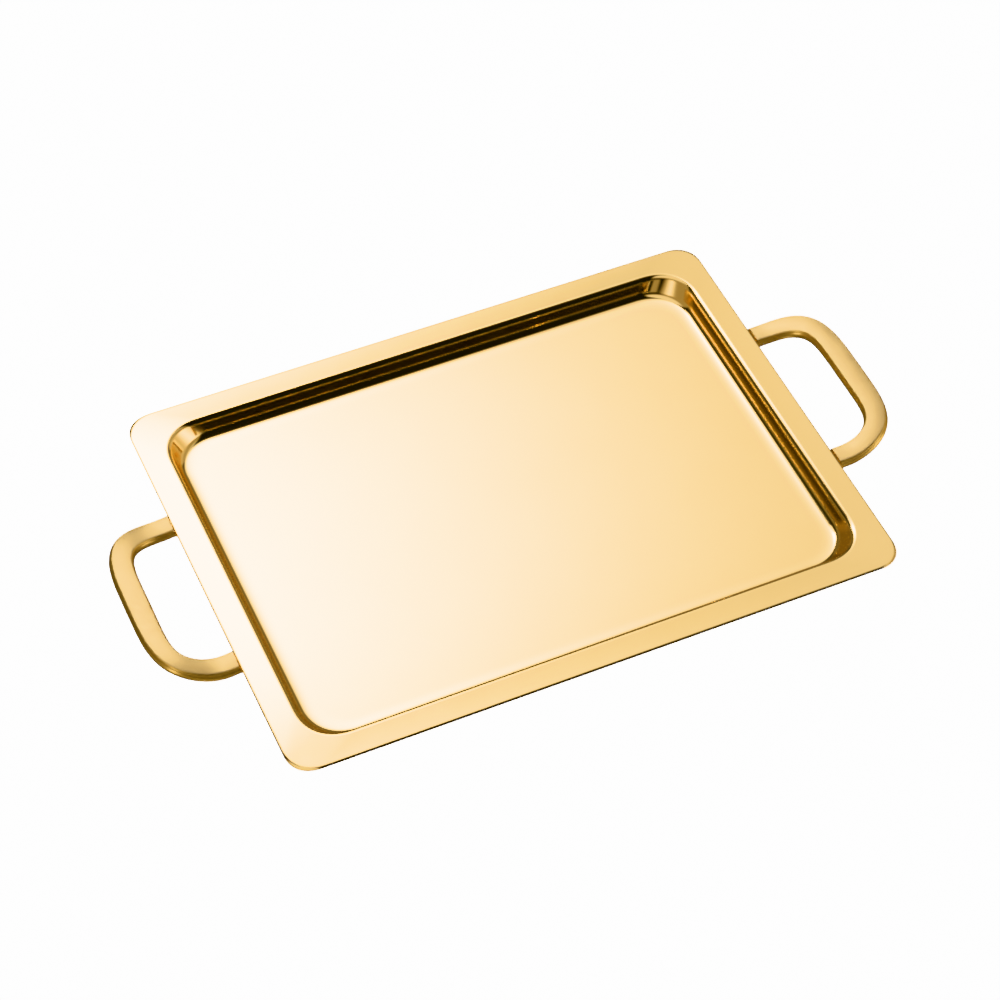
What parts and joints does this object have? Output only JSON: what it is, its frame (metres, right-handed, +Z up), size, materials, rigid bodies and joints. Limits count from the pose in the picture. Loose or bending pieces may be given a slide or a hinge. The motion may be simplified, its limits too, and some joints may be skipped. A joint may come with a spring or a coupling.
{
  "type": "rectangular serving tray with two handles",
  "caption": "Rectangular brass serving tray: shallow pressed well, flat flange all round, and a cast loop handle brazed under each short side.",
  "frame": {"origin": "middle of the tray's underside, on the surface that it stands on", "axes": "+X along the long side, through both handles; +Y along the short side; +Z up, out of the well"},
  "size_m": [0.523, 0.311, 0.0223],
  "materials": {
    "polished_brass": "mirror polished, lacquered",
    "satin_brass": "finely brushed satin",
    "braze_alloy": "as brazed and filed, dull"
  },
  "bodies": {
    "root": {"tray_pan": "polished_brass", "handle_right": "satin_brass", "handle_left": "satin_brass", "braze_fillet_right_back": "braze_alloy", "braze_fillet_right_front": "braze_alloy", "braze_fillet_left_back": "braze_alloy", "braze_fillet_left_front": "braze_alloy"}
  },
  "joints": []
}
